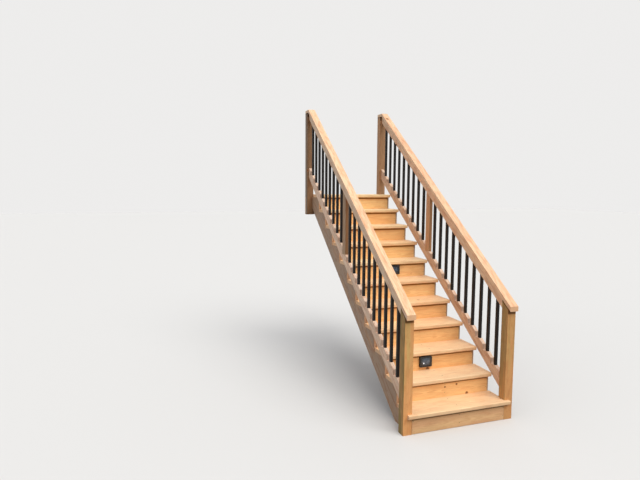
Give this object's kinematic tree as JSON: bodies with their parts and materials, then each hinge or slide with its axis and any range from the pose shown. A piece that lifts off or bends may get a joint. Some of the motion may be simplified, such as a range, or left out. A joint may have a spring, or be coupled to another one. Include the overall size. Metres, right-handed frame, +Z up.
{
  "type": "straight flight of wooden deck stairs",
  "caption": "Straight wooden deck stair with closed risers, square newels and a railing of black metal balusters on each side, bolted to a deck rim at its top.",
  "frame": {"origin": "centre of the ledger's back face, the face that is bolted to the deck's rim", "axes": "+X to the right seen from the foot, +Y up the flight and into the deck, +Z up"},
  "size_m": [1.158, 2.958, 3.2092],
  "materials": {
    "tread_wood": "oiled softwood",
    "riser_wood": "oiled softwood",
    "frame_wood": "sawn softwood",
    "post_wood": "oiled softwood",
    "rail_wood": "oiled softwood",
    "baluster_metal": "satin black powder coat",
    "light_housing": "matt black"
  },
  "bodies": {
    "root": {"tread_01": "tread_wood", "tread_02": "tread_wood", "tread_03": "tread_wood", "tread_04": "tread_wood", "tread_05": "tread_wood", "tread_06": "tread_wood", "tread_07": "tread_wood", "tread_08": "tread_wood", "tread_09": "tread_wood", "tread_10": "tread_wood", "tread_11": "tread_wood", "landing_board": "tread_wood", "riser_01": "riser_wood", "riser_02": "riser_wood", "riser_03": "riser_wood", "riser_04": "riser_wood", "riser_05": "riser_wood", "riser_06": "riser_wood", "riser_07": "riser_wood", "riser_08": "riser_wood", "riser_09": "riser_wood", "riser_10": "riser_wood", "riser_11": "riser_wood", "stringer_left": "frame_wood", "stringer_middle": "frame_wood", "stringer_right": "frame_wood", "ledger": "frame_wood", "newel_bottom_left": "post_wood", "newel_top_left": "post_wood", "mid_post_left": "post_wood", "handrail_left": "rail_wood", "subrail_left": "rail_wood", "toothed_rail_left": "rail_wood", "balusters_lower_left": "baluster_metal", "balusters_upper_left": "baluster_metal", "newel_bottom_right": "post_wood", "newel_top_right": "post_wood", "mid_post_right": "post_wood", "handrail_right": "rail_wood", "subrail_right": "rail_wood", "toothed_rail_right": "rail_wood", "balusters_lower_right": "baluster_metal", "balusters_upper_right": "baluster_metal", "step_light": "light_housing", "step_light_upper": "light_housing"}
  },
  "joints": []
}
